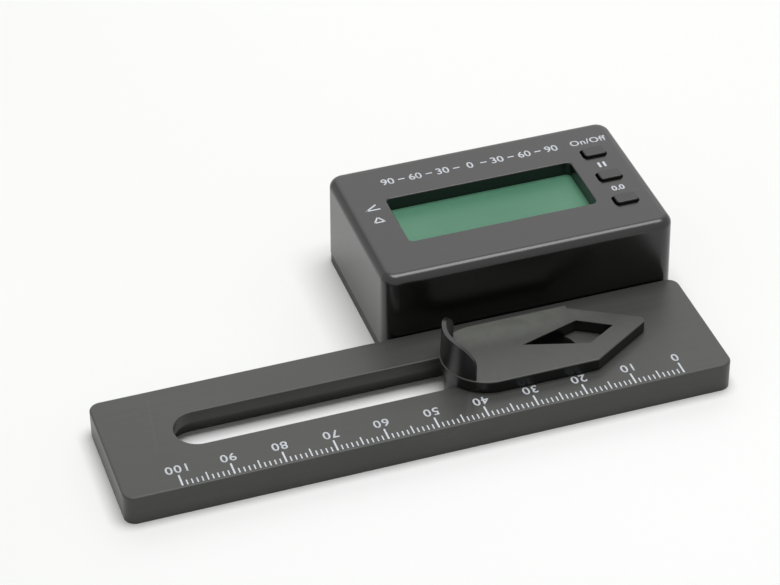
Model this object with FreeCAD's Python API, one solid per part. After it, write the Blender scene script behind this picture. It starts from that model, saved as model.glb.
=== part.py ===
import FreeCAD, Part
import math
import os

# A pocket angle gauge: a flat ruler with a T slot and a sliding pointer, and behind it a small
# box with a display and three keys. Millimetres. +X runs along the ruler towards the zero of its
# scale, +Y from the ruler to the box, +Z up. The origin is under the middle of the whole gauge.

# Ruler
ruler_length = 121.4
ruler_width = 29.2
ruler_thickness = 6.2
ruler_corner_radius = 2.3
ruler_edge_round = 0.4
zero_from_right_end = 10.2
slot_width = 9.4
slot_from_left_end = 13.6
slot_from_right_end = 26.8
slot_centre_from_front = 15.7
slot_edge_round = 0.25
ledge_thickness = 2.6
ledge_width = 1.8
tongue_thickness = 2.0
tongue_reach = 9.0
tongue_side_inset = 2.2

# Box, as a whole
box_length = 61.2
box_width = 38.2
box_height = 20.3
box_draft = 0.18
box_corner_radius = 3.0
box_edge_round = 1.8
box_right_inset = 0.2
box_to_ruler_gap = 0.15
wall = 2.0
inner_corner_radius = 1.4
seam_height = 2.5

# Display window and display
window_corner_radius = 1.0
window_edge_round = 0.3
window_depth = 3.0
window_from_left = 8.9
window_from_right = 12.7
window_from_front = 10.85
window_from_rear = 12.35
skirt_wall = 1.2
glass_margin_x = 1.7
glass_margin_y = 1.8
upper_glass_thickness = 1.3
lower_glass_thickness = 1.3
glass_ledge = 2.2
reflector_thickness = 0.2
reflector_margin = 0.6
connector_width = 1.9
connector_end_margin = 1.5

# Keys and their switches, counted from the rear
key_names = ("power", "hold", "zero")
key_length = 4.65
key_width = 2.9
key_edge_round = 0.25
key_corner_extra = 0.1
key_proud = 0.65
key_travel = 0.4
key_from_window = 5.875
first_key_from_rear = 10.95
key_flange_to_boss = 0.3
key_hole_gap_left = 0.45
key_hole_gap_right = 0.2
key_hole_gap_y = 0.15
key_flange_reach = 0.9
key_flange_thickness = 1.0
key_stem_radius = 1.3
key_stem_length = 0.6
rest_gap = 0.05
switch_size = 4.5
switch_height = 3.2
switch_spare_stroke = 0.4
switch_floor = 0.5
plunger_radius = 1.2
plunger_gap = 0.1
plunger_edge_round = 0.2

# Board and what is on it
board_thickness = 1.6
board_wall_gap = 1.1
notch_gap = 0.3
board_screw_gap = 0.15
chip_size = 7.0
chip_thickness = 1.4
chip_lead_pitch = 0.8
chip_leads_per_side = 8
chip_lead_width = 0.35
chip_lead_reach = 1.0
chip_lead_thickness = 0.2
chip_standoff = 0.1
sensor_size = 5.0
sensor_thickness = 1.8
sensor_chamfer = 0.3
sensor_from_well = 7.0
crystal_length = 8.0
crystal_radius = 1.5
small_part_length = 2.0
small_part_width = 1.2
capacitor_height = 1.2
resistor_height = 0.6
small_part_pitch = 3.2
capacitor_row = 5.0
resistor_row = 9.0
capacitor_count = 5
resistor_count = 6

# Screws and the bosses that they hold in
boss_radius = 2.1
boss_lip_gap = 0.05
boss_foot_height = 3.5
post_radius = 1.9
post_from_glass_end = 8.0
rear_post_setback = 1.0
pilot_radius = 0.95
pilot_end_room = 0.5
housing_screw_length = 12.0
ruler_screw_length = 6.0
board_screw_length = 6.0
retainer_screw_length = 6.0
screw_head_radius = 1.9
countersink_depth = 1.2
screw_sink = 0.1
cross_length = 2.2
cross_width = 0.5
cross_depth = 0.7
head_hole_gap = 0.1
shank_hole_gap = 0.15
pan_head_height = 1.2
cover_boss_radius = 2.5
cover_boss_height = 6.8

# Bottom cover
floor_thickness = 2.0
cover_inset = 0.1
lip_gap = 0.15
lip_wall = 1.0
lip_height = 2.0
tongue_gap = 0.05

# Battery, its well and its door
cell_radius = 10.0
cell_thickness = 3.2
cell_rim_inset = 1.6
cell_rim_step = 0.2
cell_edge_round = 0.3
well_gap = 0.3
well_wall = 1.4
well_below_board = 1.5
well_from_boss = 3.2
well_from_lip = 1.4
door_overhang = 1.0
door_gap = 0.2
door_sink = 0.2
door_top_gap = 0.1
collar_wall = 2.0
collar_height = 4.35
lug_angle = 30.0
lug_thickness = 1.0
lug_play = 0.1
lug_lip_height = 0.7
entry_angle = 45.0
entry_extra_angle = 6.0
coin_slot_length = 13.0
coin_slot_width = 2.0
coin_slot_depth = 1.0
contact_thickness = 0.25
contact_gap = 1.1
contact_width = 4.0
contact_foot = 5.0
contact_finger = 9.0
contact_pad = 2.0
contact_slot_play = 0.3
contact_leg_end = 1.0

# Slider
tip_reading = 2.4
slider_half_width = 9.0
slider_body_length = 20.0
arrow_length = 12.9
rear_shoulder_step = 0.9
tip_half_width = 0.8
tip_corner_radius = 0.55
plate_thickness = 2.4
plate_gap = 0.3
plate_edge_round = 0.25
kite_tail = 7.7
kite_middle = 20.2
kite_nose = 26.5
kite_half_width = 3.8
lip_inset = 0.15
finger_lip_thickness = 0.85
finger_lip_height = 7.0
finger_lip_lean = 0.4
finger_lip_half_angle = 58.0
finger_lip_corner_width = 5.4
finger_lip_corner_height = 4.6
lip_root = 0.5
block_root = 0.5
block_length = 15.0
block_inset = 0.8
block_side_gap = 0.1
block_corner_radius = 1.0
ledge_gap = 0.2
retainer_thickness = 2.4
retainer_side_gap = 0.2
retainer_shoulder = 4.2
retainer_corner_radius = 1.0
stop_gap = 0.1
retainer_screw_spacing = 7.0
retainer_first_screw = 4.0
spring_chord = 8.0
spring_thickness = 0.2
spring_height = 1.8
spring_pocket_depth = 1.0
spring_pocket_play = 0.3
spring_wall_gap = 0.03

# Places worked out from the sizes above
ruler_left = -ruler_length / 2
ruler_right = ruler_length / 2
whole_depth = ruler_width + box_to_ruler_gap + box_width
ruler_front = -whole_depth / 2
ruler_rear = ruler_front + ruler_width
zero_x = ruler_right - zero_from_right_end
slot_left = ruler_left + slot_from_left_end
slot_right = ruler_right - slot_from_right_end
slot_y = ruler_front + slot_centre_from_front
ledge_bottom = ruler_thickness - ledge_thickness
channel_width = slot_width + 2 * ledge_width

box_right = ruler_right - box_right_inset
box_left = box_right - box_length
box_front = ruler_rear + box_to_ruler_gap
box_rear = box_front + box_width
box_mid_x = (box_left + box_right) / 2
ceiling = box_height - wall

window_right = box_right - window_from_right
window_left = box_left + window_from_left
window_rear = box_rear - window_from_rear
window_front = box_front + window_from_front
window_mid_x = (window_left + window_right) / 2
glass_top = box_height - window_depth
ledge_underside = glass_top - upper_glass_thickness
glass_left = window_left - glass_margin_x
glass_right = window_right + glass_margin_x
glass_front = window_front - glass_margin_y
glass_rear = window_rear + glass_margin_y

cell_bottom = door_sink + collar_height + rest_gap
cell_top = cell_bottom + cell_thickness
board_bottom = cell_top + contact_gap
board_top = board_bottom + board_thickness
well_top = board_bottom - well_below_board
well_radius = cell_radius + well_gap
door_radius = cell_radius + door_overhang
door_opening_radius = door_radius + door_gap
well_outer_radius = door_opening_radius + well_wall

boss_from_side = wall + lip_gap + lip_wall + boss_lip_gap + boss_radius
boss_xs = (box_left + boss_from_side, box_right - boss_from_side)
boss_ys = (box_front + boss_from_side, box_rear - boss_from_side)
boss_places = [(x, y) for x in boss_xs for y in boss_ys]

key_corner_radius = 2 * key_edge_round + key_corner_extra
key_x = window_right + key_from_window
first_key_y = box_rear - first_key_from_rear
last_key_y = boss_ys[0] + boss_radius + key_flange_to_boss + key_flange_reach + key_width / 2
key_pitch = (first_key_y - last_key_y) / (len(key_names) - 1)
key_ys = [first_key_y - i * key_pitch for i in range(len(key_names))]
key_flange_top = ceiling - rest_gap
key_flange_bottom = key_flange_top - key_flange_thickness
plunger_end = key_flange_bottom - key_stem_length

post_left_x = (box_left + wall + glass_left) / 2
post_front_y = boss_ys[0]
post_rear_y = boss_ys[1] - rear_post_setback
post_places = [
    (post_left_x, (window_front + window_rear) / 2),
    (glass_left + post_from_glass_end, post_front_y),
    (glass_right - post_from_glass_end, post_front_y),
    (glass_right - post_from_glass_end, post_rear_y),
]

cell_x = boss_xs[0] + boss_radius + well_from_boss + well_outer_radius
cell_y = box_rear - wall - lip_gap - lip_wall - well_from_lip - well_outer_radius
ruler_screw_x = (cell_x + well_outer_radius + boss_xs[1]) / 2
ruler_screw_y = boss_ys[0]
sensor_x = cell_x + well_outer_radius + sensor_from_well
small_parts_x = cell_x + well_outer_radius + sensor_size

slider_x = zero_x - tip_reading - arrow_length - slider_body_length
plate_bottom = ruler_thickness + plate_gap
plate_top = plate_bottom + plate_thickness
block_left = slider_x - slider_half_width + block_inset
block_half_width = slot_width / 2 - block_side_gap
retainer_top = ledge_bottom - ledge_gap
retainer_bottom = retainer_top - retainer_thickness
retainer_half_width = channel_width / 2 - retainer_side_gap
retainer_right = slot_right + ledge_width - tip_reading - stop_gap


def point(x, y, z=0.0):
    return FreeCAD.Vector(x, y, z)


def block(x0, x1, y0, y1, z0, z1):
    return Part.makeBox(x1 - x0, y1 - y0, z1 - z0, point(x0, y0, z0))


def cylinder(x, y, z0, z1, radius):
    return Part.makeCylinder(radius, z1 - z0, point(x, y, z0))


def rounded_block(x0, x1, y0, y1, z0, z1, radius):
    """A block with its four upright edges rounded."""
    solid = block(x0, x1, y0, y1, z0, z1)
    return solid.makeFillet(radius, upright_edges(solid))


def upright_edges(solid):
    """Edges that rise from the lowest to the highest level of a solid."""
    box = solid.BoundBox
    return [e for e in solid.Edges if e.BoundBox.ZLength > 0.99 * box.ZLength]


def level_edges(solid, z, region=None):
    """Edges that lie flat at height z, inside region (x0, x1, y0, y1) if one is given."""
    found = []
    for edge in solid.Edges:
        b = edge.BoundBox
        if abs(b.ZMin - z) > 1e-4 or abs(b.ZMax - z) > 1e-4:
            continue
        if region is None:
            found.append(edge)
            continue
        x0, x1, y0, y1 = region
        if b.XMin > x0 and b.XMax < x1 and b.YMin > y0 and b.YMax < y1:
            found.append(edge)
    return found


def prism(corners, z0, z1):
    """A straight-sided outline raised from z0 to z1."""
    ring = [point(x, y, z0) for x, y in corners]
    face = Part.Face(Part.makePolygon(ring + ring[:1]))
    return face.extrude(point(0, 0, z1 - z0))


def stadium(x0, x1, y, width, z0, z1):
    """A bar with both ends round."""
    radius = width / 2
    body = block(x0 + radius, x1 - radius, y - radius, y + radius, z0, z1)
    left = cylinder(x0 + radius, y, z0, z1, radius)
    right = cylinder(x1 - radius, y, z0, z1, radius)
    return body.fuse([left, right]).removeSplitter()


def tapered_block(inset, z0, z1, radius):
    """The box's drafted outside, brought in by inset, between two heights."""
    rings = []
    for z in (z0, z1):
        draft = inset + box_draft * z / box_height
        x0, x1 = box_left + draft, box_right - draft
        y0, y1 = box_front + draft, box_rear - draft
        ring = [point(x0, y0, z), point(x1, y0, z), point(x1, y1, z), point(x0, y1, z)]
        rings.append(Part.makePolygon(ring + ring[:1]))
    solid = Part.makeLoft(rings, True, True)
    return solid.makeFillet(radius, upright_edges(solid))


def cross_recess(x, y, z, up):
    """The cross in a screw head that is driven from below; up is the way it goes in."""
    z0, z1 = sorted((z - 0.1 * up, z + cross_depth * up))
    half = cross_length / 2
    thin = cross_width / 2
    one = block(x - half, x + half, y - thin, y + thin, z0, z1)
    other = block(x - thin, x + thin, y - half, y + half, z0, z1)
    return one.fuse(other)


def countersunk_screw(x, y, z, length):
    """A flat-headed screw driven upwards, with its head's face at height z."""
    cone = Part.makeCone(screw_head_radius, pilot_radius, countersink_depth, point(x, y, z))
    shank = cylinder(x, y, z, z + length, pilot_radius)
    screw = cone.fuse(shank).removeSplitter()
    return screw.cut(cross_recess(x, y, z, 1))


def countersink(x, y, z, depth):
    """The room for a countersunk screw's head and shank, from height z up by depth."""
    mouth = screw_head_radius + head_hole_gap
    neck = pilot_radius + head_hole_gap
    below = cylinder(x, y, z - 1.0, z + screw_sink, mouth)
    cone = Part.makeCone(mouth, neck, countersink_depth, point(x, y, z + screw_sink))
    bore = cylinder(x, y, z, z + depth, pilot_radius + shank_hole_gap)
    return below.fuse([cone, bore])


def pan_screw(x, y, z, length):
    """A round-headed screw driven upwards, its head's seat at height z."""
    head = cylinder(x, y, z - pan_head_height, z, screw_head_radius)
    head = head.makeFillet(pan_head_height * 0.5, level_edges(head, z - pan_head_height))
    screw = head.fuse(cylinder(x, y, z, z + length, pilot_radius)).removeSplitter()
    return screw.cut(cross_recess(x, y, z - pan_head_height, 1))


def make_ruler():
    slab = rounded_block(ruler_left, ruler_right, ruler_front, ruler_rear, 0, ruler_thickness,
                         ruler_corner_radius)
    slab = slab.makeFillet(ruler_edge_round, level_edges(slab, ruler_thickness))
    tongue = block(box_left + tongue_side_inset, box_right - tongue_side_inset,
                   ruler_rear - wall, ruler_rear + tongue_reach, 0, tongue_thickness)
    around_well = well_outer_radius + tongue_gap
    tongue = tongue.cut(cylinder(cell_x, cell_y, -1.0, tongue_thickness + 1.0, around_well))
    ruler = slab.fuse(tongue).removeSplitter()
    slot = stadium(slot_left, slot_right, slot_y, slot_width, -1.0, ruler_thickness + 1.0)
    channel = stadium(slot_left - ledge_width, slot_right + ledge_width, slot_y, channel_width,
                      -1.0, ledge_bottom)
    ruler = ruler.cut(slot).cut(channel)
    rim = (slot_left - 0.1, slot_right + 0.1, slot_y - slot_width / 2 - 0.1, slot_y + slot_width / 2 + 0.1)
    ruler = ruler.makeFillet(slot_edge_round, level_edges(ruler, ruler_thickness, rim))
    for x in (boss_xs[0], ruler_screw_x, boss_xs[1]):
        ruler = ruler.cut(countersink(x, ruler_screw_y, 0, tongue_thickness + 1.0))
    return ruler


def make_upper_housing():
    outside = tapered_block(0, 0, box_height, box_corner_radius)
    outside = outside.makeFillet(box_edge_round, level_edges(outside, box_height))
    below_seam = block(box_left - 1, box_right + 1, box_front - 1, box_rear + 1, -1, seam_height)
    shell = outside.cut(below_seam)
    shell = shell.cut(tapered_block(wall, -1.0, ceiling, inner_corner_radius))

    skirt = rounded_block(window_left - skirt_wall, window_right + skirt_wall,
                          window_front - skirt_wall, window_rear + skirt_wall,
                          glass_top, ceiling + wall / 2, window_corner_radius + skirt_wall)
    added = [skirt]
    for x, y in boss_places:
        added.append(cylinder(x, y, boss_foot_height, ceiling + wall / 2, boss_radius))
    for x, y in post_places:
        added.append(cylinder(x, y, board_top, ceiling + wall / 2, post_radius))
    shell = shell.fuse(added).removeSplitter()

    opening = rounded_block(window_left, window_right, window_front, window_rear,
                            glass_top - 1.0, box_height + 1.0, window_corner_radius)
    shell = shell.cut(opening)
    around_window = (window_left - 0.1, window_right + 0.1, window_front - 0.1, window_rear + 0.1)
    shell = shell.makeFillet(window_edge_round, level_edges(shell, box_height, around_window))

    half_y = key_width / 2 + key_hole_gap_y
    for y in key_ys:
        hole = rounded_block(key_x - key_length / 2 - key_hole_gap_left,
                             key_x + key_length / 2 + key_hole_gap_right, y - half_y, y + half_y,
                             ceiling - 1.0, box_height + 1.0, key_corner_radius + key_hole_gap_y)
        shell = shell.cut(hole)

    screw_end = screw_sink + housing_screw_length + pilot_end_room
    for x, y in boss_places:
        shell = shell.cut(cylinder(x, y, boss_foot_height - 1.0, screw_end, pilot_radius))
    for x, y in post_places:
        post_hole_end = board_bottom + board_screw_length + pilot_end_room
        shell = shell.cut(cylinder(x, y, board_top - 1.0, post_hole_end, pilot_radius))
    return shell


def make_bottom_cover():
    """The box's floor, drawn in a little from the housing so that their seam shows as a fine step."""
    outside = tapered_block(cover_inset, 0, box_height, box_corner_radius - cover_inset)
    above = block(box_left - 1, box_right + 1, box_front - 1, box_rear + 1,
                  seam_height, box_height + 1)
    cover = outside.cut(above)
    lip_inset_from_outside = wall + lip_gap
    lip = tapered_block(lip_inset_from_outside, floor_thickness, seam_height + lip_height,
                        inner_corner_radius)
    hollow_inset = lip_inset_from_outside + lip_wall
    hollow = tapered_block(hollow_inset, floor_thickness, seam_height + lip_height + 1.0,
                           inner_corner_radius / 2)
    cover = cover.fuse(lip).cut(hollow)

    step_rear = ruler_rear + tongue_reach + tongue_gap + lip_wall
    step_area = block(box_left + hollow_inset, box_right - hollow_inset,
                      box_front + hollow_inset, step_rear, floor_thickness - 0.5, boss_foot_height)
    well = cylinder(cell_x, cell_y, 0, well_top, well_outer_radius)
    added = [step_area.common(tapered_block(hollow_inset - 0.2, 0, box_height, inner_corner_radius)), well]
    for x, y in boss_places:
        added.append(cylinder(x, y, floor_thickness - 0.5, boss_foot_height, boss_radius))
    added.append(cylinder(ruler_screw_x, ruler_screw_y, floor_thickness, cover_boss_height,
                          cover_boss_radius))
    cover = cover.fuse(added).removeSplitter()

    pocket = block(box_left + tongue_side_inset - tongue_gap, box_right - tongue_side_inset + tongue_gap,
                   box_front - 1.0, ruler_rear + tongue_reach + tongue_gap,
                   -1.0, tongue_thickness + tongue_gap)
    cover = cover.cut(pocket.cut(cylinder(cell_x, cell_y, -1.0, board_bottom, well_outer_radius)))
    for x, y in boss_places:
        if y > box_front + box_width / 2:
            cover = cover.cut(countersink(x, y, 0, boss_foot_height + 1.0))
        else:
            cover = cover.cut(cylinder(x, y, tongue_thickness, boss_foot_height + 1.0,
                                       pilot_radius + shank_hole_gap))
    hole_end = screw_sink + ruler_screw_length + pilot_end_room
    cover = cover.cut(cylinder(ruler_screw_x, ruler_screw_y, tongue_thickness, hole_end, pilot_radius))

    lug_floor = floor_thickness + lug_lip_height
    groove_top = lug_floor + lug_thickness + 2 * lug_play
    cover = cover.cut(cylinder(cell_x, cell_y, -1.0, floor_thickness, door_opening_radius))
    cover = cover.cut(cylinder(cell_x, cell_y, -1.0, well_top + 1.0, well_radius))
    cover = cover.cut(cylinder(cell_x, cell_y, lug_floor, groove_top, door_opening_radius))
    for turn in (0.0, 180.0):
        entry = sector(door_opening_radius, floor_thickness - 0.5, groove_top,
                       entry_angle + turn, lug_angle + entry_extra_angle)
        cover = cover.cut(entry)
    contact_room = contact_width / 2 + contact_slot_play
    contact_slot_bottom = cell_bottom + contact_leg_end - contact_slot_play
    return cover.cut(block(cell_x, cell_x + well_outer_radius + 1.0,
                           cell_y - contact_room, cell_y + contact_room,
                           contact_slot_bottom, well_top + 1.0))


def sector(radius, z0, z1, middle_angle, width_angle):
    """A slice of a disc about the battery's axis, its middle at the given angle."""
    slice_ = Part.makeCylinder(radius, z1 - z0, point(0, 0, z0), point(0, 0, 1), width_angle)
    slice_.rotate(point(0, 0, 0), point(0, 0, 1), middle_angle - width_angle / 2)
    slice_.translate(point(cell_x, cell_y, 0))
    return slice_


def make_battery_door():
    disc_top = floor_thickness - door_top_gap
    disc = cylinder(cell_x, cell_y, door_sink, disc_top, door_radius)
    collar_top = door_sink + collar_height
    collar = cylinder(cell_x, cell_y, door_sink, collar_top, cell_radius)
    lug_bottom = floor_thickness + lug_lip_height + lug_play
    lugs = [sector(door_radius, lug_bottom, lug_bottom + lug_thickness, turn, lug_angle)
            for turn in (0.0, 180.0)]
    door = disc.fuse([collar] + lugs).removeSplitter()
    door = door.cut(cylinder(cell_x, cell_y, disc_top, collar_top + 1.0, cell_radius - collar_wall))
    coin_slot = stadium(cell_x - coin_slot_length / 2, cell_x + coin_slot_length / 2, cell_y,
                        coin_slot_width, door_sink - 1.0, door_sink + coin_slot_depth)
    return door.cut(coin_slot)


def make_battery_cell():
    """The case is the large pole, below; the small pole stands up a little on top."""
    case_top = cell_top - cell_rim_step
    case = cylinder(cell_x, cell_y, cell_bottom, case_top, cell_radius)
    case = case.makeFillet(cell_edge_round, level_edges(case, cell_bottom) + level_edges(case, case_top))
    pole_radius = cell_radius - cell_rim_inset
    pole = cylinder(cell_x, cell_y, cell_bottom + cell_thickness / 2, cell_top, pole_radius)
    return case.fuse(pole).removeSplitter()


def make_negative_contact():
    """A strip under the board whose finger bends down onto the middle of the cell."""
    t = contact_thickness
    y0 = cell_y - contact_width / 2
    foot_end = cell_x + contact_finger
    bend = foot_end - contact_foot
    high = board_bottom
    low = cell_top
    profile = [(foot_end, high), (bend, high), (cell_x, low + t), (cell_x - contact_pad, low + t),
               (cell_x - contact_pad, low), (cell_x + t, low), (bend + t, high - t), (foot_end, high - t)]
    ring = [point(x, y0, z) for x, z in profile]
    return Part.Face(Part.makePolygon(ring + ring[:1])).extrude(point(0, contact_width, 0))


def make_positive_contact():
    """An angle under the board whose leg hangs down beside the cell's case."""
    x0 = cell_x + cell_radius
    half = contact_width / 2
    foot = block(x0, x0 + contact_foot, cell_y - half, cell_y + half,
                 board_bottom - contact_thickness, board_bottom)
    leg = block(x0, x0 + contact_thickness, cell_y - half, cell_y + half,
                cell_bottom + contact_leg_end, board_bottom)
    return foot.fuse(leg).removeSplitter()


def make_circuit_board():
    edge = wall + board_wall_gap
    board = block(box_left + edge, box_right - edge, box_front + edge, box_rear - edge,
                  board_bottom, board_top)
    reach = boss_radius + notch_gap
    for x, y in boss_places:
        x0, x1 = (box_left, x + reach) if x < box_mid_x else (x - reach, box_right)
        y0, y1 = (box_front, y + reach) if y < cell_y else (y - reach, box_rear)
        board = board.cut(block(x0, x1, y0, y1, board_bottom - 1, board_top + 1))
    for x, y in post_places:
        board = board.cut(cylinder(x, y, board_bottom - 1, board_top + 1, pilot_radius + board_screw_gap))
    return board


def make_lcd_panel():
    upper = block(glass_left, glass_right, glass_front, glass_rear, ledge_underside, glass_top)
    lower = block(glass_left, glass_right, glass_front + glass_ledge, glass_rear - glass_ledge,
                  ledge_underside - lower_glass_thickness, ledge_underside)
    return upper.fuse(lower).removeSplitter()


def make_lcd_reflector():
    top = ledge_underside - lower_glass_thickness
    m = reflector_margin
    return block(glass_left + m, glass_right - m, glass_front + glass_ledge + m,
                 glass_rear - glass_ledge - m, top - reflector_thickness, top)


def make_lcd_connector(y):
    return block(glass_left + connector_end_margin, glass_right - connector_end_margin,
                 y - connector_width / 2, y + connector_width / 2, board_top, ledge_underside)


def make_key(y):
    """A cap through the housing, a flange that keeps it in, and a stem that meets the plunger."""
    half_x = key_length / 2
    half_y = key_width / 2
    cap_top = box_height + key_proud
    cap = rounded_block(key_x - half_x, key_x + half_x, y - half_y, y + half_y,
                        key_flange_bottom, cap_top, key_corner_radius)
    cap = cap.makeFillet(key_edge_round, level_edges(cap, cap_top))
    reach_x = half_x + key_flange_reach
    reach_y = half_y + key_flange_reach
    flange = block(key_x - reach_x, key_x + reach_x, y - reach_y, y + reach_y,
                   key_flange_bottom, key_flange_top)
    stem = cylinder(key_x, y, plunger_end, key_flange_bottom, key_stem_radius)
    return cap.fuse([flange, stem])


def make_switch(y):
    half = switch_size / 2
    body = block(key_x - half, key_x + half, y - half, y + half, board_top, board_top + switch_height)
    return body.cut(cylinder(key_x, y, board_top + switch_floor, board_top + switch_height + 1.0,
                             plunger_radius + plunger_gap))


def make_plunger(y):
    bottom = board_top + switch_floor + key_travel + switch_spare_stroke
    plunger = cylinder(key_x, y, bottom, plunger_end, plunger_radius)
    return plunger.makeFillet(plunger_edge_round, level_edges(plunger, plunger_end))


def make_controller_chip():
    """A square package between the display and the board, with its leads."""
    x, y = window_mid_x, (window_front + window_rear) / 2
    half = chip_size / 2
    z0 = board_top + chip_standoff
    body = block(x - half, x + half, y - half, y + half, z0, z0 + chip_thickness)
    leads = []
    first = -(chip_leads_per_side - 1) * chip_lead_pitch / 2
    outer = half + chip_lead_reach
    for i in range(chip_leads_per_side):
        a = first + i * chip_lead_pitch - chip_lead_width / 2
        b = a + chip_lead_width
        top = board_top + chip_lead_thickness
        leads.append(block(x - outer, x + outer, y + a, y + b, board_top, top))
        leads.append(block(x + a, x + b, y - outer, y + outer, board_top, top))
    return body.fuse(leads).removeSplitter()


def make_tilt_sensor():
    half = sensor_size / 2
    low = board_bottom - sensor_thickness
    body = block(sensor_x - half, sensor_x + half, cell_y - half, cell_y + half, low, board_bottom)
    return body.makeChamfer(sensor_chamfer, level_edges(body, low))


def make_crystal():
    end = point(sensor_x - crystal_length / 2, cell_y - sensor_size - crystal_radius,
                board_bottom - crystal_radius)
    return Part.makeCylinder(crystal_radius, crystal_length, end, point(1, 0, 0))


def make_small_parts(count, y, height):
    """A row of small two-ended parts on the underside of the board."""
    row = []
    for i in range(count):
        x0 = small_parts_x + (i - (count - 1) / 2) * small_part_pitch - small_part_length / 2
        row.append(block(x0, x0 + small_part_length, y - small_part_width / 2, y + small_part_width / 2,
                         board_bottom - height, board_bottom))
    return Part.makeCompound(row)


def slider_outline():
    """The plate seen from above: a round end, straight sides and a blunt arrow.

    The arrow starts a step in from the rear side and flush with the front side.
    """
    w = slider_half_width
    shoulder_x = slider_x + slider_body_length
    tip_x = shoulder_x + arrow_length
    corners = [point(slider_x, slot_y + w), point(shoulder_x, slot_y + w),
               point(shoulder_x, slot_y + w - rear_shoulder_step), point(tip_x, slot_y + tip_half_width),
               point(tip_x, slot_y - tip_half_width), point(shoulder_x, slot_y - w),
               point(slider_x, slot_y - w)]
    edges = [Part.LineSegment(a, b).toShape() for a, b in zip(corners, corners[1:])]
    round_end = Part.Arc(corners[-1], point(slider_x - w, slot_y), corners[0]).toShape()
    return Part.Wire(edges + [round_end])


def make_finger_lip():
    """A thin wall that follows the plate's round end, leans in and has rounded upper corners."""
    foot_radius = slider_half_width - lip_inset
    root = plate_top - lip_root
    height = finger_lip_height + lip_root
    base = point(slider_x, slot_y, root)
    outside = Part.makeCone(foot_radius, foot_radius - finger_lip_lean, height, base)
    inside = Part.makeCone(foot_radius - finger_lip_thickness,
                           foot_radius - finger_lip_thickness - finger_lip_lean, height, base)
    half = math.radians(finger_lip_half_angle)
    far = 2 * foot_radius
    reach_x = slider_x - far * math.cos(half)
    reach_y = far * math.sin(half)
    wedge = prism([(slider_x, slot_y), (reach_x, slot_y + reach_y), (slider_x - far, slot_y + reach_y),
                   (slider_x - far, slot_y - reach_y), (reach_x, slot_y - reach_y)], root, root + height)
    front_corner = lip_corner()
    front_corner.rotate(point(slider_x, slot_y), point(0, 0, 1), finger_lip_half_angle)
    rear_corner = front_corner.mirror(point(slider_x, slot_y), point(0, 1, 0))
    return outside.cut(inside).common(wedge).cut(front_corner).cut(rear_corner)


def lip_corner():
    """What the round upper corner leaves off a lip that would end straight behind the middle."""
    x = slider_x - 2 * slider_half_width
    y0, y1 = slot_y, slot_y + finger_lip_corner_width
    z0, z1 = plate_top + finger_lip_height - finger_lip_corner_height, plate_top + finger_lip_height
    beyond = 1.0
    outer = [point(x, y1, z1), point(x, y1, z1 + beyond), point(x, y0 - beyond, z1 + beyond),
             point(x, y0 - beyond, z0), point(x, y0, z0)]
    edges = [Part.LineSegment(a, b).toShape() for a, b in zip(outer, outer[1:])]
    edges.append(quarter_ellipse(point(x, y0, z0), point(x, y0, z1), point(x, y1, z1)))
    return Part.Face(Part.Wire(edges)).extrude(point(2 * slider_half_width, 0, 0))


def quarter_ellipse(start, corner, end):
    """A quarter of an ellipse from start to end, inside the square corner between them."""
    curve = Part.BezierCurve()
    curve.setPoles([start, corner, end])
    curve.setWeight(2, math.sqrt(0.5))
    return curve.toShape()


def make_slider_plate():
    plate = Part.Face(slider_outline()).extrude(point(0, 0, plate_thickness))
    plate.translate(point(0, 0, plate_bottom))
    tip_x = slider_x + slider_body_length + arrow_length
    tip_edges = [e for e in upright_edges(plate) if abs(e.BoundBox.XMax - tip_x) < 1e-4]
    plate = plate.makeFillet(tip_corner_radius, tip_edges)
    plate = plate.makeFillet(plate_edge_round, level_edges(plate, plate_top))
    kite = prism([(slider_x + kite_tail, slot_y), (slider_x + kite_middle, slot_y - kite_half_width),
                  (slider_x + kite_nose, slot_y), (slider_x + kite_middle, slot_y + kite_half_width)],
                 plate_bottom - 1.0, plate_top + 1.0)
    plate = plate.cut(kite)

    root = plate_bottom + block_root
    nose = cylinder(block_left + block_half_width, slot_y, retainer_top, root, block_half_width)
    body = block(block_left + block_half_width, block_left + block_length, slot_y - block_half_width,
                 slot_y + block_half_width, retainer_top, root)
    square_end = [e for e in upright_edges(body) if e.BoundBox.XMin > block_left + block_length - 0.1]
    body = body.makeFillet(block_corner_radius, square_end)
    slider = plate.fuse([nose, body, make_finger_lip()]).removeSplitter()

    pocket_mid = spring_middle()
    half = spring_chord / 2 + spring_pocket_play
    z0 = spring_bottom() - spring_pocket_play
    z1 = spring_bottom() + spring_height + spring_pocket_play
    slider = slider.cut(block(pocket_mid - half, pocket_mid + half,
                              slot_y + block_half_width - spring_pocket_depth,
                              slot_y + block_half_width + 1.0, z0, z1))
    pilot_end = retainer_bottom + screw_sink + retainer_screw_length + pilot_end_room / 2
    for x in retainer_screw_xs():
        slider = slider.cut(cylinder(x, slot_y, retainer_top - 1.0, pilot_end, pilot_radius))
    return slider


def spring_middle():
    return block_left + block_length - block_corner_radius - spring_pocket_play - spring_chord / 2


def spring_bottom():
    return (retainer_top + plate_bottom - spring_height) / 2


def retainer_screw_xs():
    first = block_left + retainer_first_screw
    return (first, first + retainer_screw_spacing)


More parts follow.
